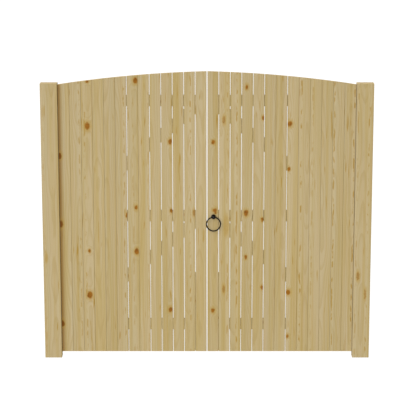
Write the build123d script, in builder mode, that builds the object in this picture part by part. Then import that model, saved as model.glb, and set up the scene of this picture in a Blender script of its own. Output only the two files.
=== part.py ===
from build123d import *
from math import atan2, cos, degrees, hypot, sin, sqrt
import os

# A double garden gate: two boarded leaves hung between timber posts, with black ironmongery.
# X runs along the gate, Y from the front to the back, Z up. The origin is on the ground,
# midway between the posts and in the middle of their thickness. Millimetres.

# Posts and the opening between them
opening_width = 1884.0
post_width = 108.0
post_depth = 66.0
post_height = 1791.0
post_arris = 1.5

# Leaves: upright boards in front of three rails and two braces
hinge_gap = 1.6
meeting_gap = 5.0
ground_gap = 36.5
board_count = 13
board_thickness = 16.0
board_arris = 1.5
open_seam = 3.0
tight_seam = 0.4
open_seams = (1, 2, 3, 4, 5, 7)  # counted from the meeting edge
arch_top = 1865.3  # top of the leaf at the meeting edge
arch_fall = 82.7  # how much lower the hinge side is
arch_bulge = 14.8  # how far the curve stands above its chord

rail_height = 70.0
rail_thickness = 30.0
rail_arris = 2.0
bottom_rail_centre = 215.0
top_rail_centre = 1677.0
brace_width = 70.0
brace_overrun = 18.5  # past the rails' centre lines, where the brace's centre line leaves the leaf

# Bolt packers: two blocks behind the first seam of each leaf
packer_width = 60.0
packer_top = 557.0
packer_centre = 75.0  # from the middle of the gate

# Band hinges, on the backs of the top and bottom rails: a band with a rolled eye on the leaf
# drops over the pin of a hook that is fixed to the post
hinge_plate = 4.0
hinge_pin_radius = 7.0
pin_clearance = 0.06
pin_stand = 5.0  # the pin's top above the eye
eye_lift = 0.4  # keeps the turning eye off the timber
eye_height = 36.0
seat_gap = 0.3  # between the eye and the lug under it
lug_height = 22.0
band_length = 400.0
band_neck = 20.0
band_spear_width = 30.0
band_spear_length = 44.0
hook_plate_width = 42.0
hook_plate_height = 130.0
hook_plate_corner = 5.0
hook_plate_start = 13.0  # from the hinge axis

# Rose-headed nails of the hinges: a pyramid head on a square shank
nail_width = 5.0
nail_length = 28.0  # under the head
nail_head = 13.0
nail_head_height = 4.5
nail_head_slope = 45.0  # degrees from the axis
nail_clearance = 0.1
nail_end_gap = 1.0  # hole past the nail's end
band_nail_count = 5
band_first_nail = 40.0
hook_nail_spacing_x = 20.0
hook_nail_spacing_z = 100.0

# Drop bolts
bolt_bar = 13.0  # square
bolt_clearance = 0.5
bolt_tip_height = 50.0
bolt_top_height = 520.0
bolt_bend_radius = 18.0
bolt_handle_length = 70.0
bolt_tip_bevel = 2.5
guide_heights = (115.0, 217.0, 375.0)
guide_height = 26.0
guide_thickness = 3.0
guide_foot = 16.0

# Ring latch on the right leaf
latch_x = 41.5
latch_height = 933.0
ring_diameter = 97.0  # over the bar
ring_bar_radius = 3.75
ring_bar_sides = 8  # the bar is forged with flats
eye_clearance = 0.4
eye_reach = 17.5  # the eye's cut runs this far each way, past the boss
eye_drop = 2.5  # the eye lies this far below the spindle
eye_stand_off = 8.5  # eye centre in front of the rose
rose_radius = 15.0
rose_thickness = 3.0
boss_radius = 15.0
boss_side = 10.0  # straight side of the boss, in front of the rose
boss_dome = 12.0
dome_steps = 2  # the dome is turned in this many flat cuts
boss_gap = 0.3
spindle_radius = 6.0
spindle_clearance = 0.05
spindle_square = 9.0
square_clearance = 0.05
backplate_thickness = 4.0
backplate_width = 58.0
backplate_height = 62.0
backplate_corner = 6.0
arm_gap = 1.0
arm_thickness = 6.0
arm_hub_radius = 13.0
arm_length = 80.0
arm_root_width = 22.0
arm_tip_width = 16.0
stop_radius = 3.5
stop_height = 24.0  # stop stud above the spindle
stop_gap = 0.4
nut_width = 13.0
nut_thickness = 6.5
thread_radius = 4.0
thread_end = 3.0

# Hook keeper on the left leaf
keeper_plate_width = 44.0
keeper_plate_height = 62.0
keeper_centre = -26.0
hook_width = 22.0
hook_thickness = 5.0
hook_clearance = 0.6
hook_throat_gap = 2.0
hook_rise = 14.0  # hook tip above the spindle
hook_flare = 4.0

# Planes that everything lines up with
post_back = post_depth / 2
rail_front = post_back - rail_thickness
board_front = rail_front - board_thickness
hinge_edge = opening_width / 2 - hinge_gap
meeting_edge = meeting_gap / 2
leaf_width = hinge_edge - meeting_edge
board_pitch = leaf_width / board_count
eye_radius = hinge_pin_radius + pin_clearance + hinge_plate
axis_distance = opening_width / 2 - hinge_gap / 2
axis_y = post_back + eye_radius + eye_lift
middle_rail_centre = latch_height  # the spindle goes through the middle of the rail
hinge_heights = (bottom_rail_centre, top_rail_centre)
rail_centres = {"bottom": bottom_rail_centre, "middle": middle_rail_centre, "top": top_rail_centre}
bolt_y = post_back + bolt_clearance + bolt_bar / 2
rose_front = board_front - rose_thickness
eye_y = rose_front - eye_stand_off
eye_z = latch_height - eye_drop
ring_centre_radius = ring_diameter / 2 - ring_bar_radius
backplate_back = post_back + backplate_thickness
arm_front = backplate_back + arm_gap
arm_back = arm_front + arm_thickness

arch_chord = hypot(leaf_width, arch_fall)
arch_radius = arch_chord**2 / (8 * arch_bulge) + arch_bulge / 2
arch_depth = (arch_radius - arch_bulge) / arch_chord
arch_centre_x = meeting_edge + leaf_width / 2 - arch_depth * arch_fall
arch_centre_z = arch_top - arch_fall / 2 - arch_depth * leaf_width


def arch_height(distance):
    """Height of the leaf's curved top at a distance from the middle of the gate."""
    return arch_centre_z + sqrt(arch_radius**2 - (distance - arch_centre_x) ** 2)


def upright(y):
    """The X-Z plane at y, facing the front of the gate."""
    return Plane.XZ.offset(-y)


def into_timber(x, y, z):
    """A plane on the back of a piece, facing into the timber."""
    return Plane(origin=(x, y, z), x_dir=(1, 0, 0), z_dir=(0, -1, 0))


def write(part, name):
    part.label = name
    export_step(part, f"parts/{name}.step")


def square_holes(spots, start, depth):
    """Square holes for the nails at these x, z spots, cut forwards from y = start."""
    hole = nail_width + 2 * nail_clearance
    with Locations(*[into_timber(x, start, z) for x, z in spots]):
        Box(hole, hole, depth, align=(Align.CENTER, Align.CENTER, Align.MIN), mode=Mode.SUBTRACT)


def pilot_depth():
    return nail_length - hinge_plate + nail_end_gap


def band_nail_spots(side):
    step = (band_length - band_first_nail) / (band_nail_count - 1)
    reach = [axis_distance - band_first_nail - step * i for i in range(band_nail_count)]
    return [(side * distance, height) for height in hinge_heights for distance in reach]


def hook_nail_spots(side):
    middle = axis_distance + hook_plate_start + hook_plate_width / 2
    return [
        (side * (middle + across * hook_nail_spacing_x / 2), height + up * hook_nail_spacing_z / 2)
        for height in hinge_heights
        for across in (-1, 1)
        for up in (-1, 1)
    ]


def rose_nails(spots, name):
    """Nails with their pyramid heads on the hinge plates and their shanks in the timber."""
    seat = post_back + hinge_plate
    with BuildPart() as nails:
        with BuildSketch(upright(seat)):
            with Locations(*spots):
                Rectangle(nail_width, nail_width)
        extrude(amount=nail_length)
        with BuildSketch(upright(seat)):
            with Locations(*spots):
                Rectangle(nail_head, nail_head)
        extrude(amount=-nail_head_height, taper=nail_head_slope)
    write(nails.part, name)


def post(side, name):
    with BuildPart() as timber:
        with BuildSketch(Plane.XY):
            with Locations((side * (opening_width + post_width) / 2, 0)):
                Rectangle(post_width, post_depth)
        extrude(amount=post_height)
        upright_edges = timber.edges().filter_by(Axis.Z)
        top_edges = timber.faces().sort_by(Axis.Z)[-1].edges()
        chamfer(upright_edges + top_edges, post_arris)
        square_holes(hook_nail_spots(side), post_back, pilot_depth())
    write(timber.part, name)


def seam_width(number):
    if number in (0, board_count):
        return 0
    return open_seam if number in open_seams else tight_seam


def board(side, number, name):
    """One upright board, counted from the meeting edge, with its top cut to the arch."""
    inner = meeting_edge + board_pitch * (number - 1) + seam_width(number - 1) / 2
    outer = meeting_edge + board_pitch * number - seam_width(number) / 2
    middle = (inner + outer) / 2
    corners = [(inner, arch_height(inner)), (inner, ground_gap)]
    corners += [(outer, ground_gap), (outer, arch_height(outer))]
    top = [(distance, arch_height(distance)) for distance in (outer, middle, inner)]
    with BuildPart() as timber:
        with BuildSketch(upright(rail_front)):
            with BuildLine():
                Polyline(*[(side * x, z) for x, z in corners])
                ThreePointArc(*[(side * x, z) for x, z in top])
            make_face()
        extrude(amount=board_thickness)
        chamfer(timber.faces().sort_by(Axis.Y)[0].edges(), board_arris)
        if side > 0 and inner < latch_x < outer:
            with Locations(into_timber(latch_x, rail_front, latch_height)):
                Cylinder(
                    spindle_radius + boss_gap,
                    board_thickness,
                    align=(Align.CENTER, Align.CENTER, Align.MIN),
                    mode=Mode.SUBTRACT,
                )
    write(timber.part, name)


def rail(side, place, name):
    centre = rail_centres[place]
    spots = [(x, z) for x, z in band_nail_spots(side) if abs(z - centre) < rail_height / 2]
    with BuildPart() as timber:
        with BuildSketch(upright(post_back)):
            with Locations((side * (meeting_edge + hinge_edge) / 2, centre)):
                Rectangle(leaf_width, rail_height)
        extrude(amount=rail_thickness)
        chamfer(timber.edges().filter_by(Axis.X).group_by(Axis.Y)[-1], rail_arris)
        if spots:
            square_holes(spots, post_back, pilot_depth())
        if side > 0 and abs(latch_height - centre) < rail_height / 2:
            with Locations(into_timber(latch_x, post_back, latch_height)):
                Cylinder(
                    spindle_radius + boss_gap,
                    rail_thickness,
                    align=(Align.CENTER, Align.CENTER, Align.MIN),
                    mode=Mode.SUBTRACT,
                )
    write(timber.part, name)


def brace(side, low_centre, high_centre, name):
    """A brace that rises from the hinge side to the meeting edge, cut to fit between two rails."""
    field_height = high_centre - low_centre - rail_height
    rise = high_centre - low_centre + 2 * brace_overrun
    middle = (side * (meeting_edge + hinge_edge) / 2, (low_centre + high_centre) / 2)
    slope = degrees(atan2(rise, -side * leaf_width))
    with BuildPart() as timber:
        with BuildSketch(upright(post_back)):
            with Locations(middle):
                Rectangle(2 * leaf_width, brace_width, rotation=slope)
                Rectangle(leaf_width, field_height, mode=Mode.INTERSECT)
        extrude(amount=rail_thickness)
        sloping = timber.edges().filter_by(Axis.X, reverse=True).filter_by(Axis.Z, reverse=True)
        chamfer(sloping.filter_by(Axis.Y, reverse=True).group_by(Axis.Y)[-1], rail_arris)
    write(timber.part, name)


def bolt_packers(side, name):
    """Blocks behind the first seam: one under the bottom rail, one standing on it."""
    spans = [
        (ground_gap, bottom_rail_centre - rail_height / 2),
        (bottom_rail_centre + rail_height / 2, packer_top),
    ]
    with BuildPart() as timber:
        with BuildSketch(upright(post_back)):
            for low, high in spans:
                with Locations((side * packer_centre, (low + high) / 2)):
                    Rectangle(packer_width, high - low)
        extrude(amount=rail_thickness)
    write(timber.part, name)


def hinge_bands(side, name):
    """Tapered bands with a spear end, each rolled into an eye that turns on the hook's pin."""
    axis_x = side * axis_distance
    root = eye_height / 2
    neck = band_neck / 2
    spear = band_spear_width / 2
    neck_distance = axis_distance - band_length
    shoulder_distance = neck_distance - band_spear_length / 3
    point_distance = neck_distance - band_spear_length
    with BuildPart() as bands:
        for height in hinge_heights:
            with BuildSketch(upright(post_back)):
                with BuildLine():
                    Polyline(
                        (axis_x, height - root),
                        (axis_x, height + root),
                        (side * neck_distance, height + neck),
                        (side * shoulder_distance, height + spear),
                        (side * point_distance, height),
                        (side * shoulder_distance, height - spear),
                        (side * neck_distance, height - neck),
                        close=True,
                    )
                make_face()
            extrude(amount=-hinge_plate)
            with BuildSketch(Plane.XY.offset(height - root)):
                with Locations((axis_x, axis_y)):
                    Circle(eye_radius)
            extrude(amount=eye_height)
        with Locations(*[(axis_x, axis_y, height) for height in hinge_heights]):
            Cylinder(hinge_pin_radius + pin_clearance, eye_height, mode=Mode.SUBTRACT)
        square_holes(band_nail_spots(side), post_back + hinge_plate, hinge_plate)
    write(bands.part, name)


def hinge_hooks(side, name):
    """Hooks: a plate nailed to the post, with a lug under the eye and an upright pin."""
    axis_x = side * axis_distance
    plate_x = side * (axis_distance + hook_plate_start + hook_plate_width / 2)
    tongue = hook_plate_start + hook_plate_width / 2
    with BuildPart() as hooks:
        for height in hinge_heights:
            seat = height - eye_height / 2 - seat_gap
            with BuildSketch(upright(post_back)):
                with Locations((plate_x, height)):
                    plate = Rectangle(hook_plate_width, hook_plate_height)
                chamfer(plate.vertices(), hook_plate_corner)
                with Locations((side * (axis_distance + tongue / 2), seat - lug_height / 2)):
                    Rectangle(tongue, lug_height)
            extrude(amount=-hinge_plate)
            with BuildSketch(Plane.XY.offset(seat)):
                with Locations((axis_x, axis_y)):
                    Circle(eye_radius)
            extrude(amount=-lug_height)
            with BuildSketch(Plane.XY.offset(seat)):
                with Locations((axis_x, axis_y)):
                    Circle(hinge_pin_radius)
            extrude(amount=eye_height + seat_gap + pin_stand)
        square_holes(hook_nail_spots(side), post_back + hinge_plate, hinge_plate)
    write(hooks.part, name)


def bolt_rod(side, name):
    """A drop bolt: an upright square bar bent over at the top into a handle."""
    x = side * packer_centre
    handle_x = x + side * bolt_handle_length
    with BuildPart() as rod:
        with BuildLine():
            FilletPolyline(
                (x, bolt_y, bolt_tip_height),
                (x, bolt_y, bolt_top_height),
                (handle_x, bolt_y, bolt_top_height),
                radius=bolt_bend_radius,
            )
        with BuildSketch(Plane.XY.offset(bolt_tip_height)):
            with Locations((x, bolt_y)):
                Rectangle(bolt_bar, bolt_bar)
        sweep()
        chamfer(rod.faces().sort_by(Axis.Z)[0].edges(), bolt_tip_bevel)
    write(rod.part, name)


def bolt_guides(side, name):
    """Staples bent from strip: a square arch over the bar and a foot on each side."""
    inside = bolt_bar / 2 + bolt_clearance
    outside = inside + guide_thickness
    arch_back = bolt_y + outside
    half = outside + guide_foot
    foot_back = post_back + guide_thickness
    profile = [
        (-half, post_back),
        (-half, foot_back),
        (-outside, foot_back),
        (-outside, arch_back),
        (outside, arch_back),
        (outside, foot_back),
        (half, foot_back),
        (half, post_back),
        (inside, post_back),
        (inside, arch_back - guide_thickness),
        (-inside, arch_back - guide_thickness),
        (-inside, post_back),
    ]
    with BuildPart() as guides:
        for height in guide_heights:
            with BuildSketch(Plane.XY.offset(height - guide_height / 2)):
                with BuildLine():
                    Polyline(*[(side * packer_centre + x, y) for x, y in profile], close=True)
                make_face()
            extrude(amount=guide_height)
    write(guides.part, name)


def ring_rose(name):
    """Round plate on the front of the board; the spindle turns in it."""
    with BuildPart() as rose:
        with BuildSketch(upright(board_front)):
            with Locations((latch_x, latch_height)):
                Circle(rose_radius)
                Circle(spindle_radius + spindle_clearance, mode=Mode.SUBTRACT)
        extrude(amount=rose_thickness)
    write(rose.part, name)


def ring_spindle(name):
    """Domed boss with a flared eye, turned in one with the shaft through the leaf."""
    boss_back = rose_front - boss_gap
    side_front = rose_front - boss_side
    apex = side_front - boss_dome
    shoulder = backplate_back + arm_gap / 2
    end = arm_back + nut_thickness + thread_end
    dome_radius = (boss_radius**2 + boss_dome**2) / (2 * boss_dome)
    dome_centre = apex + dome_radius
    rim_angle = atan2(boss_radius, dome_centre - side_front)
    angles = [rim_angle * step / dome_steps for step in range(dome_steps + 1)]
    dome = [(dome_radius * sin(a), dome_centre - dome_radius * cos(a)) for a in angles]
    turned = Plane(origin=(latch_x, 0, latch_height), x_dir=(1, 0, 0), z_dir=(0, 0, 1))
    throat = ring_bar_radius + eye_clearance
    inside = ring_centre_radius - ring_bar_radius
    mouth = throat + inside - sqrt(inside**2 - boss_radius**2)
    flare = throat + (mouth - throat) * eye_reach / boss_radius
    eye = Plane(origin=(latch_x, eye_y, eye_z), x_dir=(1, 0, 0), z_dir=(0, 0, 1))
    with BuildPart() as spindle:
        with BuildSketch(turned):
            with BuildLine():
                Polyline(
                    *dome,
                    (boss_radius, boss_back),
                    (spindle_radius, boss_back),
                    (spindle_radius, shoulder),
                    (thread_radius, shoulder),
                    (thread_radius, end),
                    (0, end),
                    close=True,
                )
            make_face()
        revolve(axis=Axis((latch_x, 0, latch_height), (0, 1, 0)))
        with BuildSketch(upright(shoulder)):
            with Locations((latch_x, latch_height)):
                Rectangle(spindle_square, spindle_square)
        extrude(amount=-(arm_back - shoulder))
        with BuildSketch(eye):
            with BuildLine():
                Polyline(
                    (-eye_reach, 0),
                    (eye_reach, 0),
                    (eye_reach, flare),
                    (0, throat),
                    (-eye_reach, flare),
                    close=True,
                )
            make_face()
        revolve(axis=Axis((latch_x, eye_y, eye_z), (1, 0, 0)), mode=Mode.SUBTRACT)
    write(spindle.part, name)


def ring_handle(name):
    """The ring hangs from the boss's eye, parallel to the boards."""
    with BuildPart() as ring:
        with BuildSketch(Plane.YZ.offset(latch_x)):
            with Locations((eye_y, eye_z)):
                RegularPolygon(ring_bar_radius, ring_bar_sides)
        revolve(axis=Axis((latch_x, eye_y, eye_z - ring_centre_radius), (0, 1, 0)))
    write(ring.part, name)


def clipped_plate(x, width, height):
    """A plate on the back of the middle rail, with its corners cut off.

    The spindle's hole is cut through it where the spindle is within its outline.
    """
    with BuildSketch(upright(post_back)) as outline:
        with Locations((x, middle_rail_centre)):
            plate = Rectangle(width, height)
        chamfer(plate.vertices(), backplate_corner)
        with Locations((latch_x, latch_height)):
            Circle(spindle_radius + spindle_clearance, mode=Mode.SUBTRACT)
    extrude(outline.sketch, amount=-backplate_thickness)


def latch_backplate(name):
    """Plate behind the middle rail, with the stud that stops the arm upright."""
    stud_x = latch_x + arm_stop_offset()
    with BuildPart() as plate:
        clipped_plate(latch_x, backplate_width, backplate_height)
        with Locations(into_timber(stud_x, backplate_back, latch_height + stop_height)):
            Cylinder(
                stop_radius,
                arm_back - backplate_back,
                align=(Align.CENTER, Align.CENTER, Align.MAX),
            )
    write(plate.part, name)


def arm_half_width(distance):
    """Half the arm's width at a distance from the spindle."""
    return (arm_root_width + (arm_tip_width - arm_root_width) * distance / arm_length) / 2


def arm_stop_offset():
    """How far the stop stud stands beside the spindle, clear of the upright arm."""
    return arm_half_width(stop_height) + stop_gap + stop_radius


def latch_arm(name):
    """Tapered arm on the spindle's square: upright when free, level when it lies in the hook."""
    root = arm_root_width / 2
    tip = arm_tip_width / 2
    outline = [(-root, 0), (root, 0), (tip, arm_length - tip), (tip / 2, arm_length)]
    outline += [(-tip / 2, arm_length), (-tip, arm_length - tip)]
    with BuildPart() as arm:
        with BuildSketch(upright(arm_back)):
            with Locations((latch_x, latch_height)):
                Circle(arm_hub_radius)
            with BuildLine():
                Polyline(*[(latch_x + x, latch_height + z) for x, z in outline], close=True)
            make_face()
            with Locations((latch_x, latch_height)):
                hole = spindle_square + 2 * square_clearance
                Rectangle(hole, hole, mode=Mode.SUBTRACT)
        extrude(amount=arm_thickness)
    write(arm.part, name)


def spindle_nut(name):
    """Hexagon nut that holds the arm on the spindle."""
    with BuildPart() as nut:
        with BuildSketch(upright(arm_back)):
            with Locations((latch_x, latch_height)):
                RegularPolygon(nut_width / 2, 6, major_radius=False)
                Circle(thread_radius + spindle_clearance, mode=Mode.SUBTRACT)
        extrude(amount=-nut_thickness)
    write(nut.part, name)


def latch_keeper(name):
    """Plate with an upturned hook; the level arm drops into it from above."""
    hook_x = keeper_centre + hook_width / 2
    floor = latch_height - arm_half_width(latch_x - keeper_centre) - hook_clearance
    under = floor - hook_thickness
    throat_back = arm_back + hook_throat_gap
    hook_back = throat_back + hook_thickness
    tip = latch_height + hook_rise
    with BuildPart() as keeper:
        clipped_plate(keeper_centre, keeper_plate_width, keeper_plate_height)
        with BuildSketch(Plane.YZ.offset(hook_x)):
            with BuildLine():
                Polyline(
                    (backplate_back, under),
                    (hook_back, under),
                    (hook_back, tip - 2 * hook_flare),
                    (hook_back + hook_flare, tip),
                    (throat_back + hook_flare, tip),
                    (throat_back, tip - 2 * hook_flare),
                    (throat_back, floor),
                    (backplate_back, floor),
                    close=True,
                )
            make_face()
        extrude(amount=-hook_width)
    write(keeper.part, name)


os.makedirs("parts", exist_ok=True)

for leaf, side in (("left", -1), ("right", 1)):
    post(side, f"{leaf}_post")
    for number in range(1, board_count + 1):
        board(side, number, f"{leaf}_board_{number:02d}")
    for place in rail_centres:
        rail(side, place, f"{leaf}_{place}_rail")
    brace(side, bottom_rail_centre, middle_rail_centre, f"{leaf}_lower_brace")
    brace(side, middle_rail_centre, top_rail_centre, f"{leaf}_upper_brace")
    bolt_packers(side, f"{leaf}_bolt_packers")
    hinge_bands(side, f"{leaf}_hinge_bands")
    hinge_hooks(side, f"{leaf}_hinge_hooks")
    rose_nails(band_nail_spots(side), f"{leaf}_band_nails")
    bolt_rod(side, f"{leaf}_bolt_rod")
    bolt_guides(side, f"{leaf}_bolt_guides")

rose_nails(hook_nail_spots(-1) + hook_nail_spots(1), "hook_nails")
ring_rose("ring_rose")
ring_spindle("ring_spindle")
ring_handle("ring_handle")
latch_backplate("latch_backplate")
latch_arm("latch_arm")
spindle_nut("spindle_nut")
latch_keeper("latch_keeper")
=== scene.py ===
import bmesh
import bpy
import random
from math import atan2, cos, pi, radians, sin, sqrt
from mathutils import Matrix, Vector


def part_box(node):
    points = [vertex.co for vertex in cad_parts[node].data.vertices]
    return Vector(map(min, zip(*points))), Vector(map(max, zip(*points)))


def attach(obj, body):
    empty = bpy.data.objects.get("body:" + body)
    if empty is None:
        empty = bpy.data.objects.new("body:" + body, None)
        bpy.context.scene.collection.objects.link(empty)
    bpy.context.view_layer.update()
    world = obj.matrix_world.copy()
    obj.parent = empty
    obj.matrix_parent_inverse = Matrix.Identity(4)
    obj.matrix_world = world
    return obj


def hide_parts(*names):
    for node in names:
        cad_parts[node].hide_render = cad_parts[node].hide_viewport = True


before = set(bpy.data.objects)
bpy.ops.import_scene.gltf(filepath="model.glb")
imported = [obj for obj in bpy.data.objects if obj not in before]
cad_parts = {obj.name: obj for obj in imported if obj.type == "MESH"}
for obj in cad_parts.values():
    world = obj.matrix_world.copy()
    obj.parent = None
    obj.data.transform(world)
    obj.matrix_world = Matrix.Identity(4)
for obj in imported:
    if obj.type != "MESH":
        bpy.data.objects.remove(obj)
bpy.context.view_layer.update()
print("frame loaded with", len(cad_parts), "nodes")

leafBodies = {"left": "left_leaf", "right": "right_leaf"}


class Socket:  # one output of a node; sums written with it become Math nodes
    def __init__(self, shader, output):
        self.shader = shader
        self.output = output

    def __add__(self, other):
        return self.shader.math("ADD", self, other)

    def __radd__(self, other):
        return self.shader.math("ADD", other, self)

    def __sub__(self, other):
        return self.shader.math("SUBTRACT", self, other)

    def __rsub__(self, other):
        return self.shader.math("SUBTRACT", other, self)

    def __mul__(self, other):
        return self.shader.math("MULTIPLY", self, other)

    def __rmul__(self, other):
        return self.shader.math("MULTIPLY", other, self)

    def __truediv__(self, other):
        return self.shader.math("DIVIDE", self, other)

    def __rtruediv__(self, other):
        return self.shader.math("DIVIDE", other, self)


class Shader:
    def __init__(self, name):
        self.material = bpy.data.materials.new(name)
        self.material.use_nodes = True
        self.nodes = self.material.node_tree.nodes
        self.links = self.material.node_tree.links
        self.nodes.clear()

    # settings come first; an output of None gives all the outputs
    def add(self, kind, settings=None, inputs=None, output=0):
        node = self.nodes.new(kind)
        for key, value in (settings or {}).items():
            setattr(node, key, value)
        for key, value in (inputs or {}).items():
            if isinstance(value, Socket):
                self.links.new(value.output, node.inputs[key])
            else:
                node.inputs[key].default_value = value
        if output is None:
            return [Socket(self, each) for each in node.outputs]
        return Socket(self, node.outputs[output])

    def math(self, operation, *values):
        return self.add("ShaderNodeMath", {"operation": operation}, dict(enumerate(values)))

    def vectorMath(self, operation, *values, output=0):
        settings = {"operation": operation}
        return self.add("ShaderNodeVectorMath", settings, dict(enumerate(values)), output)

    def vector(self, x, y, z):
        return self.add("ShaderNodeCombineXYZ", None, {0: x, 1: y, 2: z})

    def split(self, vector):
        return self.add("ShaderNodeSeparateXYZ", None, {0: vector}, None)

    def noise(self, vector, scale=1.0, detail=2.0, roughness=0.5):
        inputs = {"Vector": vector, "Scale": scale, "Detail": detail, "Roughness": roughness}
        return self.add("ShaderNodeTexNoise", None, inputs)

    # 0 below low, 1 above high, smooth between
    def ramp(self, value, low, high):
        settings = {"interpolation_type": "SMOOTHSTEP"}
        return self.add("ShaderNodeMapRange", settings, {0: value, 1: low, 2: high, 3: 0.0, 4: 1.0})

    def mix(self, factor, first, second):
        return self.add("ShaderNodeMix", {"data_type": "RGBA"}, {0: factor, 6: first, 7: second}, 2)

    def bump(self, height, strength, distance):
        inputs = {"Strength": strength, "Distance": distance, "Height": height}
        return self.add("ShaderNodeBump", None, inputs)

    def finish(self, inputs):
        surface = self.add("ShaderNodeBsdfPrincipled", None, inputs)
        self.add("ShaderNodeOutputMaterial", None, {"Surface": surface}, None)
        return self.material


# a colour as it is seen on a screen, each part from 0 to 1
def seen(red, green, blue):
    linear = [((c + 0.055) / 1.055) ** 2.4 if c > 0.04 else c / 12.92 for c in (red, green, blue)]
    return (*linear, 1.0)


pineLook = {
    "early": seen(0.627, 0.565, 0.431),  # pale spring wood
    "late": seen(0.553, 0.473, 0.278),  # darker summer wood
    "honey": seen(0.592, 0.512, 0.298),  # broad warm streaks
    "cool": seen(0.607, 0.555, 0.424),  # broad grey-green streaks
    "rosy": seen(0.632, 0.536, 0.410),  # narrow pinkish streaks
    "amber": seen(0.566, 0.472, 0.208),  # narrow resinous streaks
    "fleck": seen(0.535, 0.412, 0.095),  # short resin flecks
    "sap": seen(0.665, 0.608, 0.475),  # pale wood beside a column of flecks
    "heartwoodAndShade": seen(0.500, 0.365, 0.155),  # a brown edge, partly heartwood and partly painted shade beside the left post
    "knot": seen(0.520, 0.338, 0.072),
    "knotHeart": seen(0.400, 0.232, 0.034),
    "knotHalo": seen(0.580, 0.472, 0.208),  # the stained wood round a knot
    # paler than end grain is: partly end-grain tone, partly painted light from above on the tops
    "endGrainAndTopLight": seen(0.770, 0.680, 0.500),
    "share": {  # how strongly each colour comes through where it shows
        "honey": 0.62, "cool": 0.44, "amber": 0.36, "rosy": 0.36, "late": 0.36, "fleck": 0.75,
        "sap": 0.40, "heartwoodAndShade": 0.85, "knotHalo": 0.62, "endGrainAndTopLight": 0.80,
    },
    "repeats": {  # of each pattern in a metre: across, through and along the grain
        "wander": (1.5, 0.0, 0.9),
        "ripple": (40.0, 40.0, 5.0),
        "fibre": (620.0, 620.0, 9.0),
        "honey": (26.0, 10.0, 0.55),
        "cool": (34.0, 12.0, 0.8),
        "amber": (90.0, 25.0, 0.9),
        "rosy": (170.0, 40.0, 1.7),
        "fleck": (85.0, 85.0, 7.0),
        "fleckArea": (12.0, 1.0, 1.6),
        "weave": (0.0, 1.0, 7.0),
        "bead": (60.0, 0.0, 20.0),
        "drift": (0.0, 1.0, 3.0),
        "bend": (70.0, 0.0, 55.0),
        "twist": (60.0, 0.0, 60.0),
        "grit": (240.0, 30.0, 160.0),
    },
    "span": {  # where each pattern begins to show, and where it is full
        "honey": (0.36, 0.64), "cool": (0.46, 0.66), "amber": (0.52, 0.68), "rosy": (0.52, 0.70),
        "fleck": (0.64, 0.74), "fleckArea": (0.48, 0.60), "bead": (0.50, 0.60),
        "summerStart": (0.35, 0.86), "summerEnd": (0.88, 0.99), "endGrainAndTopLight": (0.45, 0.85),
        "front": (0.5, 0.9), "knotShade": (-0.10, 0.25),
    },
    "fade": {  # metres from its middle line: where each begins to fade, and where it is gone
        "beads": (0.0010, 0.0078), "sap": (0.004, 0.018), "heartwoodAndShade": (0.004, 0.036),
    },
    "knotFade": {  # the same, in a knot's radii from its middle
        "colour": (0.66, 1.20), "halo": (0.9, 2.3), "swirl": (0.8, 3.6), "relief": (0.85, 1.1),
    },
    "ringSpacing": 0.0052,
    "wander": (0.055, 0.070),  # how far the pith strays, across and through
    "weave": 0.014,  # a column of flecks strays this much
    "drift": 0.008,  # and the brown edge, heartwood and painted shade, this much
    "knotSwell": 1.22,  # all knots are this much larger than listed
    "knotRagged": 0.0100,
    "knotTaller": 1.6,  # their outlines stray this many times more along the grain
    "knotSwirl": 0.006,  # the rings bend this far round a knot
    "knotRings": 15.0,  # of the knot's own rings, radians in each radius
    "fibreShade": 0.16,
    "relief": {"fibre": 0.5, "summer": -0.35, "knot": 0.5},  # shares of the depth
    "reliefDepth": 0.00036,
    "roughness": 0.62,
}
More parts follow.
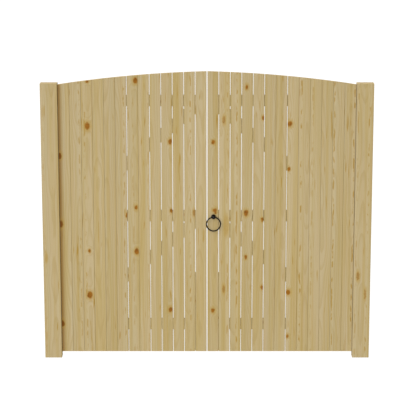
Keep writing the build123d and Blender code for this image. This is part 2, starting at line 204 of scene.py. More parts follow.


# grain runs at this angle from the X axis in the X-Z plane; knots are (across, along, radius, stretch)
# and, for a faint one, how far faded, up to 1; tone makes the piece lighter or darker; columns of resin
# flecks are (across, strength); the next argument gives where a brown edge lies across the piece, partly
# heartwood and partly painted shade beside the post; the last lightens the timber's front as painted
# light
def pine(name, centre, angle, pith, knots, tone, seed, columns=(), brownAndShadeEdge=None, paintedSeamLight=0.0):
    look = pineLook
    s = Shader(name)
    coordinates = s.add("ShaderNodeTexCoord", None, None, None)
    turn = radians(90.0 - angle)
    place = {"Vector": coordinates[3], "Location": centre, "Rotation": (0.0, turn, 0.0)}
    timber = s.add("ShaderNodeMapping", {"vector_type": "TEXTURE"}, place)
    x, y, z = s.split(timber)

    # a pattern drawn out along the grain, and moved so that no two timbers show the same
    def pattern(kind, shift, detail=2.0, roughness=0.5):
        spread = s.vectorMath("MULTIPLY_ADD", timber, look["repeats"][kind], shift)
        return s.noise(spread, 1.0, detail, roughness)

    # rings round a pith that wanders along the timber
    wanderX = s.noise(s.vector(seed, x * 1.5, z * 1.1), 1.0, 3.0) - 0.5
    wanderY = pattern("wander", (0.0, seed + 7.3, 0.0), 3.0) - 0.5
    fromPithX = x - pith[0] + wanderX * look["wander"][0]
    fromPithY = y - pith[1] + wanderY * look["wander"][1]
    radius = s.math("SQRT", fromPithX * fromPithX + fromPithY * fromPithY)
    ripple = pattern("ripple", (0.0, seed, 0.0)) - 0.5

    # the nearest knot, in knot radii; its outline is ragged
    nearest = None
    knotFade = look["knotFade"]
    knotInner, knotOuter = knotFade["colour"]
    if knots:
        bend = pattern("bend", (0.0, seed, 0.0), 1.0) - 0.5
        twist = pattern("twist", (0.0, seed + 5.0, 0.0), 1.0) - 0.5
        stray = look["knotRagged"]
        ragged = s.vector(x + bend * stray, 0.0, z + twist * (stray * look["knotTaller"]))
    for across, along, size, stretch, *faded in knots:
        grown = size * look["knotSwell"]
        scale = (grown, 1.0, grown * stretch)
        spot = {"Vector": ragged, "Location": (across, 0.0, along), "Scale": scale}
        offset = s.add("ShaderNodeMapping", {"vector_type": "TEXTURE"}, spot)
        distance = s.vectorMath("LENGTH", offset, output=1)
        if faded:
            least = knotInner + faded[0] * (knotOuter - knotInner)
            distance = s.math("MAXIMUM", distance, least)
        nearest = distance if nearest is None else s.math("MINIMUM", nearest, distance)
    if nearest is not None:
        swirl = 1.0 - s.ramp(nearest, *knotFade["swirl"])
        radius = radius + swirl * look["knotSwirl"]

    span, fade, share = look["span"], look["fade"], look["share"]
    phase = s.math("FRACT", radius / look["ringSpacing"] + ripple * 0.5)
    summer = s.ramp(phase, *span["summerStart"]) * (1.0 - s.ramp(phase, *span["summerEnd"]))
    fibre = pattern("fibre", (0.0, 0.0, seed), 3.0, 0.65)

    # streaks from broad to narrow, each over those before it
    colour = look["early"]
    for kind, shift, roughness in (
        ("honey", (seed, 0.0, 0.0), 0.5),
        ("cool", (0.0, seed, 4.0), 0.5),
        ("amber", (seed, 0.0, 0.0), 0.6),
        ("rosy", (0.0, seed, 0.0), 0.6),
    ):
        streak = s.ramp(pattern(kind, shift, 2.0, roughness), *span[kind])
        colour = s.mix(streak * share[kind], colour, look[kind])
    colour = s.mix(summer * share["late"], colour, look["late"])

    fleck = s.ramp(pattern("fleck", (0.0, seed, 0.0), 1.0), *span["fleck"])
    fleck = fleck * s.ramp(pattern("fleckArea", (seed, 0.0, 0.0), 1.0), *span["fleckArea"])
    colour = s.mix(fleck * share["fleck"], colour, look["fleck"])
    for across, strength in columns:
        weave = pattern("weave", (seed + across * 50.0, 0.0, 0.0)) - 0.5
        bead = pattern("bead", (0.0, seed - across * 90.0, 0.0))
        fromColumn = s.math("ABSOLUTE", x - across + weave * look["weave"])
        beaded = (1.0 - s.ramp(fromColumn, *fade["beads"])) * s.ramp(bead, *span["bead"])
        pale = (1.0 - s.ramp(fromColumn, *fade["sap"])) * strength * share["sap"]
        colour = s.mix(pale, colour, look["sap"])
        colour = s.mix(beaded * strength, colour, look["fleck"])
    # painted shade: a warm brown band along the edge beside the left post, partly heartwood and partly
    # the post's shadow
    if brownAndShadeEdge is not None:
        drift = pattern("drift", (seed, 0.0, 0.0)) * look["drift"]
        fromEdge = s.math("ABSOLUTE", x - brownAndShadeEdge) + drift
        brownAndShadeMix = (1.0 - s.ramp(fromEdge, *fade["heartwoodAndShade"])) * share["heartwoodAndShade"]
        colour = s.mix(brownAndShadeMix, colour, look["heartwoodAndShade"])
    if nearest is not None:
        grit = pattern("grit", (0.0, 0.0, seed)) - 0.5
        edge = nearest + grit * 0.35
        rings = s.math("SINE", edge * look["knotRings"]) * 0.5 + 0.5
        # beside the left post the knots take the darkest colour, partly as painted shade
        core = s.mix(rings * 0.35 if brownAndShadeEdge is None else 0.85, look["knot"], look["knotHeart"])
        core = s.mix(s.ramp(bend - twist * 0.6, *span["knotShade"]) * 0.7, core, look["knotHeart"])
        halo = (1.0 - s.ramp(edge, *knotFade["halo"])) * share["knotHalo"]
        colour = s.mix(halo, colour, look["knotHalo"])
        colour = s.mix(1.0 - s.ramp(edge, knotInner, knotOuter), colour, core)

    # another tone where the fibres are cut across, partly end-grain tone and partly painted light from
    # above, made pale for the lit tops
    alongGrain = (cos(radians(angle)), 0.0, sin(radians(angle)))
    facing = s.math("ABSOLUTE", s.vectorMath("DOT_PRODUCT", coordinates[1], alongGrain, output=1))
    colour = s.mix(s.ramp(facing, *span["endGrainAndTopLight"]) * share["endGrainAndTopLight"], colour, look["endGrainAndTopLight"])
    shade = 1.0 + tone + (fibre - 0.5) * look["fibreShade"]
    # painted light: faces turned to the front are made paler, so the frame seen down the shaded seams
    # reads less dark
    if paintedSeamLight:
        toFront = s.vectorMath("DOT_PRODUCT", coordinates[1], (0.0, -1.0, 0.0), output=1)
        shade = shade + s.ramp(toFront, *span["front"]) * paintedSeamLight
    colour = s.add("ShaderNodeVectorMath", {"operation": "SCALE"}, {0: colour, "Scale": shade})

    raised = look["relief"]
    relief = fibre * raised["fibre"] + summer * raised["summer"]
    if nearest is not None:
        relief = relief + (1.0 - s.ramp(nearest, *knotFade["relief"])) * raised["knot"]
    return s.finish({
        "Base Color": colour,
        "Roughness": look["roughness"] - summer * 0.10 + fibre * 0.08,
        "Specular IOR Level": 0.10,
        "Normal": s.bump(relief, 0.55, look["reliefDepth"]),
    })


def setMaterial(piece, material):
    piece.data.materials.clear()
    piece.data.materials.append(material)


def middle(node):
    low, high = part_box(node)
    return (low + high) / 2


# left_top_rail becomes leftTopRail
def plainName(node):
    first, *rest = node.split("_")
    return first + "".join(word.capitalize() for word in rest)


# knots of the boards: across from the board's middle, height, radius, how much taller than wide,
# and, for a faint one, how far faded
boardKnots = {
    ("left", 2): [(0.029, 0.958, 0.007, 2.6, 0.45)],
    ("left", 4): [
        (0.022, 1.420, 0.010, 1.4), (0.028, 0.970, 0.0082, 1.3), (0.020, 0.317, 0.011, 1.4),
    ],
    ("left", 7): [(0.020, 1.808, 0.012, 1.4), (0.018, 0.993, 0.008, 1.6), (0.019, 0.704, 0.012, 1.4)],
    ("left", 8): [(0.032, 0.943, 0.007, 1.8)],
    ("left", 11): [
        (0.003, 1.519, 0.014, 1.4), (0.006, 1.802, 0.008, 0.9),
        (0.006, 0.708, 0.007, 1.4), (0.004, 0.415, 0.014, 1.4),
    ],
    ("left", 13): [
        (-0.030, 1.327, 0.010, 1.8), (-0.030, 0.885, 0.011, 1.8), (-0.030, 0.225, 0.010, 1.8),
    ],
    ("right", 1): [
        (0.001, 1.416, 0.0088, 1.3), (0.012, 0.974, 0.0115, 1.0), (0.016, 0.958, 0.005, 1.3),
        (0.000, 0.313, 0.010, 1.3),
    ],
    ("right", 2): [
        (-0.004, 1.557, 0.007, 2.8, 0.50), (0.012, 0.875, 0.0095, 4.2, 0.85),
        (-0.004, 0.455, 0.007, 2.8, 0.50),
    ],
    ("right", 4): [
        (-0.005, 1.767, 0.0085, 1.5), (-0.006, 0.956, 0.0120, 1.4), (-0.006, 0.666, 0.007, 1.6),
    ],
    ("right", 5): [(0.028, 1.571, 0.008, 1.4), (0.026, 0.913, 0.008, 1.4), (0.027, 0.466, 0.008, 1.4)],
    ("right", 8): [
        (-0.020, 1.533, 0.012, 1.3), (-0.024, 1.242, 0.007, 1.5),
        (-0.021, 0.434, 0.012, 1.3), (-0.023, 0.140, 0.007, 1.5),
    ],
}

# columns of resin flecks in the boards: across from the board's middle, strength
boardColumns = {
    ("left", 2): [(0.004, 0.75)],
    ("left", 6): [(0.026, 0.35)],
    ("left", 7): [(0.002, 0.40)],
    ("left", 8): [(0.018, 0.60)],
    ("left", 11): [(-0.014, 0.60)],
    ("left", 12): [(0.023, 0.50)],
    ("right", 2): [(0.019, 0.60)],
    ("right", 3): [(0.006, 0.80)],
    ("right", 9): [(-0.019, 0.80)],
    ("right", 10): [(-0.019, 0.45)],
    ("right", 12): [(-0.027, 0.75)],
    ("right", 13): [(0.027, 0.80)],
}

boardCount = 13
brownAndShadeBoard = ("left", 13)  # heartwood and painted shade from the left post show along its outer edge
boardChances = {  # each board draws from these, in this order
    "pithAside": (-0.045, 0.045),
    "pithDepth": (0.045, 0.110),
    "tone": (-0.02, 0.02),
}
chance = random.Random(11)
for side in leafBodies:
    for number in range(1, boardCount + 1):
        node = f"{side}_board_{number:02d}"
        centre = middle(node)
        knots = boardKnots.get((side, number), [])
        local = [(across, height - centre.z, *rest) for across, height, *rest in knots]
        pith = (chance.uniform(*boardChances["pithAside"]), chance.uniform(*boardChances["pithDepth"]))
        tone = chance.uniform(*boardChances["tone"])
        brownAndShadeEdge = None
        if (side, number) == brownAndShadeBoard:
            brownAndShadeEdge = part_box(node)[0].x - centre.x
        name = f"{side}BoardPine{number:02d}"
        columns = boardColumns.get((side, number), [])
        seed = number * 3.1 + len(side)  # no two boards share one
        material = pine(name, centre, 90.0, pith, local, tone, seed, columns, brownAndShadeEdge)
        setMaterial(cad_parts[node], material)
print("boards finished")

paintedSeamLight = 0.7  # painted light: the frame timbers' fronts, which show only down the seams between the boards, are made paler so the shaded seams read less dark
braceOverrun = 0.0185  # where a brace's centre line leaves the leaf, past the rail's
frameTimbers = {  # tone, and how far each way from the middle the knots lie
    "bottom_rail": (-0.03, 0.40),
    "middle_rail": (0.00, 0.40),
    "top_rail": (-0.02, 0.40),
    "lower_brace": (-0.01, 0.40),
    "upper_brace": (0.02, 0.40),
    "bolt_packers": (-0.02, 0.15),
}
frameChances = {  # each rail, brace and pair of packers draws from these
    "pithAside": (-0.04, 0.04),
    "pithDepth": (-0.09, -0.05),
    "knotAside": (-0.02, 0.02),
    "knotClear": 0.05,  # the second knot stays this far past the middle
    "knotRadii": ((0.007, 0.012), (0.006, 0.010)),
    "knotStretch": (1.4, 1.5),
}


def braceAngle(side, node):
    low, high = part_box(node)
    railLow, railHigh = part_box(f"{side}_middle_rail")
    leafLow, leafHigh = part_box(f"{side}_top_rail")
    rise = high.z - low.z + railHigh.z - railLow.z + 2 * braceOverrun
    slope = atan2(rise, leafHigh.x - leafLow.x) * 180.0 / pi
    return 180.0 - slope if side == "right" else slope


for side in leafBodies:
    for index, (timber, (tone, reach)) in enumerate(frameTimbers.items()):
        node = f"{side}_{timber}"
        angle = 0.0 if timber.endswith("rail") else 90.0
        if timber.endswith("brace"):
            angle = braceAngle(side, node)
        pith = (chance.uniform(*frameChances["pithAside"]), chance.uniform(*frameChances["pithDepth"]))
        aside, reaches = frameChances["knotAside"], ((-reach, 0.0), (frameChances["knotClear"], reach))
        knots = [
            (chance.uniform(*aside), chance.uniform(*along), chance.uniform(*radii), stretch)
            for along, radii, stretch in zip(
                reaches, frameChances["knotRadii"], frameChances["knotStretch"],
            )
        ]
        name, seed = plainName(node) + "Pine", 50.0 + index * 4.7 + len(side)
        material = pine(name, middle(node), angle, pith, knots, tone, seed, paintedSeamLight=paintedSeamLight)
        setMaterial(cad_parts[node], material)

# knots of the posts: across and along from the post's middle, and the rest as for the boards
postKnots = {
    "left": [(-0.034, -0.23, 0.005, 4.0, 0.80)],
    "right": [(-0.026, -0.35, 0.0078, 2.8, 0.50), (0.022, -0.47, 0.0048, 5.5, 0.55)],
}
postColumns = {"left": [(-0.040, 0.35)], "right": [(-0.040, 0.45), (0.029, 0.70)]}
postPith = ((-0.02, 0.02), (0.03, 0.08))  # drawn from these, across and through
for side, knots in postKnots.items():
    node = f"{side}_post"
    pith = [chance.uniform(*limits) for limits in postPith]
    name, seed = plainName(node) + "Pine", 80.0 + len(side)
    material = pine(name, middle(node), 90.0, pith, knots, 0.0, seed, postColumns[side])
    setMaterial(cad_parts[node], material)
print("posts, rails and braces finished")


ironLook = {
    "coat": seen(0.026, 0.024, 0.028),
    "worn": seen(0.060, 0.050, 0.045),
    "wornShare": 0.45,
    "speckShare": 0.30,
    "peel": 900.0,  # bumps of the coat in a metre
    "hammer": 110.0,  # hammer marks, worn patches and specks in a metre
    "patch": 38.0,
    "speck": 420.0,
    "patchSpan": (0.42, 0.70),  # where patches and specks begin to show, and where they are full
    "speckSpan": (0.66, 0.74),
    "bumpDepth": 0.0004,
}


# peel is finer above 1 and coarser below it
def iron(name, roughness, peel, gloss):
    s = Shader(name)
    place = s.add("ShaderNodeTexCoord", None, None, 3)
    skin = s.noise(place, ironLook["peel"] * peel, 2.0, 0.6)
    hammer = s.noise(place, ironLook["hammer"], 2.0)
    patch = s.noise(place, ironLook["patch"], 3.0, 0.6)
    speck = s.ramp(s.noise(place, ironLook["speck"], 2.0), *ironLook["speckSpan"])
    worn = s.ramp(patch, *ironLook["patchSpan"]) * ironLook["wornShare"]
    colour = s.mix(worn, ironLook["coat"], ironLook["worn"])
    colour = s.mix(speck * ironLook["speckShare"], colour, ironLook["worn"])
    return s.finish({
        "Base Color": colour,
        "Specular IOR Level": gloss,
        "Roughness": roughness - 0.08 + patch * 0.16 + skin * 0.04,
        "Normal": s.bump(skin * 0.4 + hammer * 0.6, 0.30, ironLook["bumpDepth"]),
    })


blackIron = iron("blackIron", 0.38, 1.0, 0.25)
blackNail = iron("blackNail", 0.50, 0.7, 0.20)
ringIron = iron("ringIron", 0.32, 1.0, 0.08)
handledIron = iron("handledIron", 0.22, 1.0, 0.15)  # hands keep the boss bright


zincLook = {
    "grey": seen(0.62, 0.63, 0.64),
    "bright": seen(0.74, 0.75, 0.75),
    "dull": seen(0.50, 0.49, 0.47),
    "dullShare": 0.4,
    "spangle": 700.0,  # crystals and dull patches in a metre
    "patch": 60.0,
    "spangleSpan": (0.35, 0.65),
    "patchSpan": (0.5, 0.7),
    "bumpDepth": 0.0002,
}


def zinc(name):
    s = Shader(name)
    place = s.add("ShaderNodeTexCoord", None, None, 3)
    spangle = s.noise(place, zincLook["spangle"], 2.0)
    patch = s.noise(place, zincLook["patch"], 2.0)
    colour = s.mix(s.ramp(spangle, *zincLook["spangleSpan"]), zincLook["grey"], zincLook["bright"])
    dulled = s.ramp(patch, *zincLook["patchSpan"]) * zincLook["dullShare"]
    return s.finish({
        "Base Color": s.mix(dulled, colour, zincLook["dull"]),
        "Metallic": 0.85,
        "Roughness": 0.38 + spangle * 0.2,
        "Normal": s.bump(spangle, 0.2, zincLook["bumpDepth"]),
    })


brightNail = zinc("brightNail")


# a bmesh is used up as it becomes a mesh
def meshFrom(name, mesh):
    data = bpy.data.meshes.new(name)
    mesh.to_mesh(data)
    mesh.free()
    return data


def addObject(name, data):
    made = bpy.data.objects.new(name, data)
    bpy.context.scene.collection.objects.link(made)
    return made


creaseAngle = 38.0  # degrees; edges that turn more than this stay crisp


def newPiece(name, mesh, body, material):
    data = meshFrom(name, mesh)
    data.shade_smooth()
    data.set_sharp_from_angle(angle=radians(creaseAngle))
    piece = addObject(name, data)
    data.materials.append(material)
    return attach(piece, body)


# how far a face runs back from one of its edges
def faceDepth(face, edge):
    start = edge.verts[0].co
    along = (edge.verts[1].co - start).normalized()
    return max(along.cross(corner.co - start).length for corner in face.verts)


easing = {
    "weld": 0.000002,  # corners closer than this are one
    "flat": 1.0,  # degrees; faces that turn less than this become one
    "sharp": 28.0,  # degrees; edges that turn more than this are eased
    "room": 2.2,  # and only where the faces beside them run back this many times the ease
    "segments": 3,
}


# a CAD piece again, with its outer edges eased as forging and coating leave them
def eased(node, name, body, material, ease):
    mesh = bmesh.new()
    mesh.from_mesh(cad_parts[node].data)
    bmesh.ops.remove_doubles(mesh, verts=mesh.verts, dist=easing["weld"])
    flat = radians(easing["flat"])
    bmesh.ops.dissolve_limit(mesh, angle_limit=flat, verts=mesh.verts, edges=mesh.edges)
    sharp = [e for e in mesh.edges if e.is_convex and e.calc_face_angle() > radians(easing["sharp"])]
    sharp = [e for e in sharp if min(faceDepth(f, e) for f in e.link_faces) > ease * easing["room"]]
    bmesh.ops.bevel(
        mesh, geom=sharp, offset=ease, affect="EDGES", segments=easing["segments"], profile=0.5,
        clamp_overlap=True, material=-1,
    )
    piece = newPiece(name, mesh, body, material)
    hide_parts(node)


easedPieces = {  # node: body, material, slot, ease
    "left_hinge_bands": ("left_leaf", blackIron, "black_iron", 0.0007),
    "right_hinge_bands": ("right_leaf", blackIron, "black_iron", 0.0007),
    "left_hinge_hooks": ("posts", blackIron, "black_iron", 0.0007),
    "right_hinge_hooks": ("posts", blackIron, "black_iron", 0.0007),
    "left_band_nails": ("left_leaf", blackNail, "fixings", 0.0005),
    "right_band_nails": ("right_leaf", blackNail, "fixings", 0.0005),
    "hook_nails": ("posts", blackNail, "fixings", 0.0005),
    "left_bolt_guides": ("left_leaf", blackIron, "black_iron", 0.0006),
    "right_bolt_guides": ("right_leaf", blackIron, "black_iron", 0.0006),
    "left_bolt_rod": ("left_drop_bolt", blackIron, "black_iron", 0.0010),
    "right_bolt_rod": ("right_drop_bolt", blackIron, "black_iron", 0.0010),
    "latch_backplate": ("right_leaf", blackIron, "black_iron", 0.0006),
    "latch_keeper": ("left_leaf", blackIron, "black_iron", 0.0006),
    "latch_arm": ("latch_spindle", blackIron, "black_iron", 0.0006),
    "spindle_nut": ("latch_spindle", blackNail, "fixings", 0.0004),
    "ring_rose": ("right_leaf", ringIron, "black_iron", 0.0006),
}
for node, (body, material, slot, ease) in easedPieces.items():
    eased(node, plainName(node), body, material, ease)
print("ironmongery eased")


weldDistance = 0.000005  # corners of a turned piece that are closer than this are one


# turns a profile of (radius, distance along the axis) round an axis
def turned(profile, centre, axis, across, steps):
    mesh = bmesh.new()
    corners = [mesh.verts.new(centre + across * r + axis * along) for r, along in profile]
    edges = [mesh.edges.new(pair) for pair in zip(corners, corners[1:])]
    bmesh.ops.spin(
        mesh, geom=corners + edges, cent=centre, axis=axis, angle=2 * pi, steps=steps, use_merge=True,
    )
    bmesh.ops.remove_doubles(mesh, verts=mesh.verts, dist=weldDistance)
    bmesh.ops.recalc_face_normals(mesh, faces=mesh.faces)
    return mesh


ringShape = {
    "barRadius": 0.00375,
    "barSides": 24,
    "ringSteps": 128,
    "eyeSlack": 0.0008,  # between the bar and the boss
    "eyeReach": 0.0175,  # the eye's cut runs this far each way
    "eyeStraight": 0.003,  # and is straight this far each way
    "eyeSteps": 48,
    "bossSide": 0.0100,
    "bossGap": 0.0003,
    "bossArris": 0.0006,
    "domeSteps": 14,
    "spindleSteps": 96,
    "shaftRadius": 0.006,
    "shoulderGap": 0.0005,  # the round shaft stops this far in front of the arm
    "squareSide": 0.009,
    "threadRadius": 0.004,
    "threadPitch": 0.00125,
    "threadDepth": 0.0005,
    "threadPoint": 0.0007,  # the end is this much smaller in radius
    "threadTurns": 2,  # that stand out past the nut
    "creaseAngle": 32.0,  # of the boss and its eye
}

ringLow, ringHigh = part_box("ring_handle")
ringCentre = (ringLow + ringHigh) / 2
ringMiddleRadius = (ringHigh.z - ringLow.z) / 2 - ringShape["barRadius"]
backward = Vector((0.0, 1.0, 0.0))
rightward = Vector((1.0, 0.0, 0.0))
upward = Vector((0.0, 0.0, 1.0))

ringMesh = bmesh.new()
barPlace = Matrix.Translation(ringCentre + upward * ringMiddleRadius) @ Matrix.Rotation(pi / 2, 4, "Y")
bar = bmesh.ops.create_circle(
    ringMesh, segments=ringShape["barSides"], radius=ringShape["barRadius"], matrix=barPlace,
)
bmesh.ops.spin(
    ringMesh, geom=bar["verts"] + ringMesh.edges[:], cent=ringCentre, axis=backward,
    angle=2 * pi, steps=ringShape["ringSteps"], use_merge=True,
)
bmesh.ops.remove_doubles(ringMesh, verts=ringMesh.verts, dist=weldDistance)
bmesh.ops.recalc_face_normals(ringMesh, faces=ringMesh.faces)
ring = newPiece("ringBar", ringMesh, "ring", ringIron)
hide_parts("ring_handle")


# from the top of the dome, over its side, to the shaft
def bossProfile(low, high, roseFront):
    radius = (high.x - low.x) / 2
    bossBack = roseFront - ringShape["bossGap"]
    sideFront = roseFront - ringShape["bossSide"]
    dome = sideFront - low.y
    ball = (radius * radius + dome * dome) / (2 * dome)
    rim = atan2(radius, ball - dome)
    steps = ringShape["domeSteps"]
    turns = [rim * i / steps for i in range(steps + 1)]
    arris = ringShape["bossArris"]
    profile = [(ball * sin(turn), low.y + ball - ball * cos(turn)) for turn in turns]
    profile += [(radius, bossBack - arris), (radius - arris, bossBack)]
    profile += [(ringShape["shaftRadius"], bossBack)]
    return profile


spindleLow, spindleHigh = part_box("ring_spindle")
axisX = (spindleLow.x + spindleHigh.x) / 2
axisZ = (spindleLow.z + spindleHigh.z) / 2
spindleCentre = Vector((axisX, 0.0, axisZ))
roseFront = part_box("ring_rose")[0].y
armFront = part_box("latch_arm")[0].y
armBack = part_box("latch_arm")[1].y
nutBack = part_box("spindle_nut")[1].y

profile = bossProfile(spindleLow, spindleHigh, roseFront)
shoulder = armFront - ringShape["shoulderGap"]
thread = ringShape["threadRadius"]
root = thread - ringShape["threadDepth"]
point = thread - ringShape["threadPoint"]
pitch = ringShape["threadPitch"]
profile += [(ringShape["shaftRadius"], shoulder), (thread, shoulder), (thread, nutBack)]
for i in range(ringShape["threadTurns"]):
    profile += [(root, nutBack + pitch * (i + 0.5)), (thread, nutBack + pitch * (i + 1))]
profile += [(point, spindleHigh.y), (0.0, spindleHigh.y)]
spindleMesh = turned(profile, spindleCentre, backward, rightward, ringShape["spindleSteps"])
squareSide = ringShape["squareSide"]
squarePlace = Matrix.Translation(spindleCentre + backward * (shoulder + armBack) / 2)
squareSize = Matrix.Diagonal((squareSide, armBack - shoulder, squareSide, 1.0))
bmesh.ops.create_cube(spindleMesh, size=1.0, matrix=squarePlace @ squareSize)
spindle = newPiece("bossAndSpindle", spindleMesh, "latch_spindle", handledIron)

# the eye that the ring swings in, flared at both ends so that the ring clears it
bossRadius = (spindleHigh.x - spindleLow.x) / 2
eyeCentre = Vector((axisX, ringCentre.y, ringCentre.z + ringMiddleRadius))
inside = ringMiddleRadius - ringShape["barRadius"]
throat = ringShape["barRadius"] + ringShape["eyeSlack"]
mouth = throat + inside - sqrt(inside * inside - bossRadius * bossRadius)
reach = ringShape["eyeReach"]
flare = throat + (mouth - throat) * reach / bossRadius
straight = ringShape["eyeStraight"]
eyeProfile = [
    (0.0, -reach), (flare, -reach), (throat, -straight), (throat, straight), (flare, reach), (0.0, reach),
]
cutterMesh = turned(eyeProfile, eyeCentre, rightward, upward, ringShape["eyeSteps"])
cutter = addObject("eyeCutter", meshFrom("eyeCutter", cutterMesh))
cut = spindle.modifiers.new("eye", "BOOLEAN")
cut.object = cutter
cut.operation = "DIFFERENCE"
cut.solver = "EXACT"
bpy.context.view_layer.update()
cutShape = bpy.data.meshes.new_from_object(spindle.evaluated_get(bpy.context.evaluated_depsgraph_get()))
spindle.modifiers.clear()
spindle.data = cutShape
spindle.data.shade_smooth()
spindle.data.set_sharp_from_angle(angle=radians(ringShape["creaseAngle"]))
setMaterial(spindle, handledIron)
bpy.data.objects.remove(cutter)
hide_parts("ring_spindle")
print("ring and boss made")


nailShape = {
    "radius": 0.0034,
    "topShare": 0.82,  # of the radius
    "stand": 0.0008,
    "sides": 10,
    "lean": 0.004,  # no row of nails is quite straight
    "railRow": 0.022,  # each row is this far from the timber's centre line
    "braceRow": 0.018,
    "braceMargin": 0.014,  # no nail is closer to a brace's end
    "packerRow": 0.021,
    "packerHeights": (0.062, 0.160, 0.290, 0.440, 0.530),
}
screwShape = {
    "radius": 0.0038,
    "sides": 24,
    "layers": ((0.0, 0.5), (0.16, 0.3), (0.30, 0.2)),  # of the dome: how far drawn in, share of the rise
    "stand": 0.0018,
    "flushStand": 0.0003,  # those in the latch plates are let in
    "slot": 0.0012,
    "depth": 0.6,  # of the slot, as a share of the rise
    "plateThickness": 0.004,
    "plateInset": (0.0065, 0.0075),  # from the sides, and from the top and bottom
    "footThickness": 0.003,
    "guideInset": 0.007,
    "guideHeights": (0.115, 0.217, 0.375),
}


# a low round head on a back face at (x, y, z)
def nailHead(mesh, x, y, z):
    place = Matrix.Translation((x, y + nailShape["stand"] / 2, z)) @ Matrix.Rotation(-pi / 2, 4, "X")
    bmesh.ops.create_cone(
        mesh, cap_ends=True, cap_tris=False, segments=nailShape["sides"],
        radius1=nailShape["radius"], radius2=nailShape["radius"] * nailShape["topShare"],
        depth=nailShape["stand"], matrix=place,
    )


# a domed head with a slot pressed into it; made flat, then turned to face backwards
def screwHead(mesh, x, y, z, stand, turn):
    radius = screwShape["radius"]
    head = bmesh.new()
    bmesh.ops.create_circle(head, cap_ends=True, segments=screwShape["sides"], radius=radius)
    bmesh.ops.recalc_face_normals(head, faces=head.faces)
    underside = head.faces[:]
    base = underside
    for shrink, rise in screwShape["layers"]:
        raised = bmesh.ops.extrude_face_region(head, geom=base)["geom"]
        if base is not underside:
            bmesh.ops.delete(head, geom=base, context="FACES_ONLY")
        base = [g for g in raised if isinstance(g, bmesh.types.BMFace)]
        corners = [g for g in raised if isinstance(g, bmesh.types.BMVert)]
        bmesh.ops.scale(head, verts=corners, vec=(1.0 - shrink, 1.0 - shrink, 1.0))
        bmesh.ops.translate(head, verts=corners, vec=(0.0, 0.0, stand * rise))
    for edge in (-1, 1):  # the slot's two sides; the face between them is the one nearest the middle
        bmesh.ops.bisect_plane(
            head, geom=base + base[0].edges[:], dist=0.000001,
            plane_co=(0.0, edge * screwShape["slot"] / 2, 0.0), plane_no=(0.0, 1.0, 0.0),
        )
        top = [f for f in head.faces if f.calc_center_median().z > stand * 0.99 and abs(f.normal.z) > 0.9]
        base = [min(top, key=lambda f: abs(f.calc_center_median().y))]
    pressed = bmesh.ops.extrude_face_region(head, geom=base)["geom"]
    bmesh.ops.delete(head, geom=base, context="FACES_ONLY")
    corners = [g for g in pressed if isinstance(g, bmesh.types.BMVert)]
    bmesh.ops.translate(head, verts=corners, vec=(0.0, 0.0, -stand * screwShape["depth"]))
    bmesh.ops.recalc_face_normals(head, faces=head.faces)
    backwards = Matrix.Rotation(-pi / 2, 4, "X") @ Matrix.Rotation(turn, 4, "Z")
    bmesh.ops.transform(head, matrix=Matrix.Translation((x, y, z)) @ backwards, verts=head.verts)
    made = meshFrom("screw", head)
    mesh.from_mesh(made)
    bpy.data.meshes.remove(made)


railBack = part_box("left_middle_rail")[1].y
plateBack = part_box("latch_backplate")[0].y + screwShape["plateThickness"]


# nails through the rails, braces and packers into the boards
def leafNails(side):
    mesh = bmesh.new()
    for place in ("bottom", "middle", "top"):
        centre = middle(f"{side}_{place}_rail")
        for number in range(1, boardCount + 1):
            if place == "middle" and number == 1:
                continue  # the latch plates are there
            x = middle(f"{side}_board_{number:02d}").x
            for row in (-1, 1):
                lean = chance.uniform(-nailShape["lean"], nailShape["lean"])
                nailHead(mesh, x + lean, railBack, centre.z + row * nailShape["railRow"])
    for place in ("lower_brace", "upper_brace"):
        node = f"{side}_{place}"
        low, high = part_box(node)
        angle = radians(braceAngle(side, node))
        centre = middle(node)
        across = Vector((-sin(angle), 0.0, cos(angle))) * nailShape["braceRow"]
        margin = nailShape["braceMargin"]
        for number in range(1, boardCount + 1):
            x = middle(f"{side}_board_{number:02d}").x
            z = centre.z + (x - centre.x) * sin(angle) / cos(angle)
            for row in (-1, 1):
                spot = Vector((x, railBack, z)) + across * row
                if low.z + margin < spot.z < high.z - margin and low.x < spot.x < high.x:
                    nailHead(mesh, spot.x, spot.y, spot.z)
    packer = middle(f"{side}_bolt_packers").x
    for z in nailShape["packerHeights"]:
        for row in (-1, 1):
            nailHead(mesh, packer + row * nailShape["packerRow"], railBack, z)
    return newPiece(f"{side}LeafNails", mesh, leafBodies[side], brightNail)


# screws of the latch plate or the keeper, and of the bolt guides
def latchScrews(side):
    mesh = bmesh.new()
    node = "latch_backplate" if side == "right" else "latch_keeper"
    low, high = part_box(node)
    insetX, insetZ = screwShape["plateInset"]
    for x in (low.x + insetX, high.x - insetX):
        for z in (low.z + insetZ, high.z - insetZ):
            screwHead(mesh, x, plateBack, z, screwShape["flushStand"], chance.uniform(0.0, pi))
    guideLow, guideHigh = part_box(f"{side}_bolt_guides")
    footBack = guideLow.y + screwShape["footThickness"]
    for z in screwShape["guideHeights"]:
        for x in (guideLow.x + screwShape["guideInset"], guideHigh.x - screwShape["guideInset"]):
            screwHead(mesh, x, footBack, z, screwShape["stand"], chance.uniform(0.0, pi))
    return newPiece(f"{side}IronScrews", mesh, leafBodies[side], blackNail)


for side in leafBodies:
    leafNails(side)
    latchScrews(side)
print("nails and screws driven")


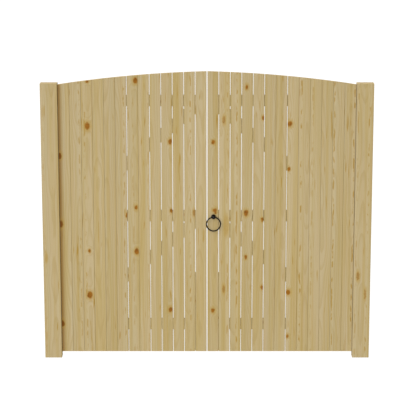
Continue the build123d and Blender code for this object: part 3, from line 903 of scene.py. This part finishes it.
white = (1.0, 1.0, 1.0, 1.0)
stageLook = {
    "floorSize": 160.0,
    "floorColour": (0.12, 0.12, 0.12, 1.0),
    "floorGlow": 0.96,
    "skyStrength": 0.17,
    "keyStrength": 1.95,
    "keySoftness": 40.0,  # degrees across
    "keyAzimuth": 50.0,  # degrees to the left of the front
    "keyHeight": 38.0,
    "fillStrength": 0.30,  # each of the fill lights
    "fillSoftness": 6.0,
    "fillHeights": (20.0, 45.0, 68.0),  # straight in front, one above the other
    "backLights": {  # strength, azimuth, height
        "backKey": (2.00, 140.0, 30.0),
        "backFill": (1.10, 215.0, 20.0),
    },
    "lampsAway": 8.0,  # where the distant lights are drawn; it changes nothing in the light
    "glintPower": 105.0,
    "glintSize": 0.25,
    "glintPlace": (-0.2, -5.0, 0.65),
    "glintTilt": 93.0,  # degrees up from straight down
}

floorMesh = bmesh.new()
bmesh.ops.create_grid(floorMesh, x_segments=1, y_segments=1, size=stageLook["floorSize"] / 2)
floor = addObject("floor", meshFrom("floor", floorMesh))
floorShader = Shader("paleFloor")
floor.data.materials.append(floorShader.finish({
    "Base Color": stageLook["floorColour"],
    "Roughness": 0.9,
    "Specular IOR Level": 0.0,
    "Emission Color": white,
    "Emission Strength": stageLook["floorGlow"],
}))

world = bpy.data.worlds.new("studio")
world.use_nodes = True
sky = world.node_tree.nodes["Background"]
sky.inputs["Color"].default_value = white
sky.inputs["Strength"].default_value = stageLook["skyStrength"]
bpy.context.scene.world = world


# a light far off towards an azimuth, counted to the left of the front, and a height, in degrees
def distantLight(name, strength, softness, azimuth, height):
    data = bpy.data.lights.new(name, "SUN")
    data.energy = strength
    data.angle = radians(softness)
    light = addObject(name, data)
    across, up = radians(azimuth), radians(height)
    towards = Vector((-sin(across) * cos(up), -cos(across) * cos(up), sin(up)))
    light.location = towards * stageLook["lampsAway"]
    light.rotation_euler = towards.to_track_quat("Z", "Y").to_euler()


distantLight(
    "keyLight", stageLook["keyStrength"], stageLook["keySoftness"],
    stageLook["keyAzimuth"], stageLook["keyHeight"],
)
for number, height in enumerate(stageLook["fillHeights"]):
    name = f"fillLight{number}"
    distantLight(name, stageLook["fillStrength"], stageLook["fillSoftness"], 0.0, height)
for name, (strength, azimuth, height) in stageLook["backLights"].items():
    distantLight(name, strength, stageLook["keySoftness"], azimuth, height)

# a small lamp in front gives the boss its glint
glintData = bpy.data.lights.new("glintLight", "AREA")
glintData.energy = stageLook["glintPower"]
glintData.size = stageLook["glintSize"]
glintLight = addObject("glintLight", glintData)
glintLight.location = stageLook["glintPlace"]
glintLight.rotation_euler = (radians(stageLook["glintTilt"]), 0.0, 0.0)

cameraPlace = {
    "distance": 10.218,  # in front of the posts
    "height": 3.169,
    "aside": 0.0064,
    "pitch": 12.02,  # degrees down
    "lens": 141.9,
    "sensor": 36.0,
    "sight": 300.0,
}
cameraData = bpy.data.cameras.new("camera")
cameraData.lens = cameraPlace["lens"]
cameraData.sensor_width = cameraPlace["sensor"]
cameraData.clip_end = cameraPlace["sight"]
camera = addObject("camera", cameraData)
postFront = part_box("left_post")[0].y
camera.location = (cameraPlace["aside"], postFront - cameraPlace["distance"], cameraPlace["height"])
camera.rotation_euler = (radians(90.0 - cameraPlace["pitch"]), 0.0, 0.0)
bpy.context.scene.camera = camera
bpy.context.scene.view_settings.view_transform = "Standard"
print("floor, light and camera placed")
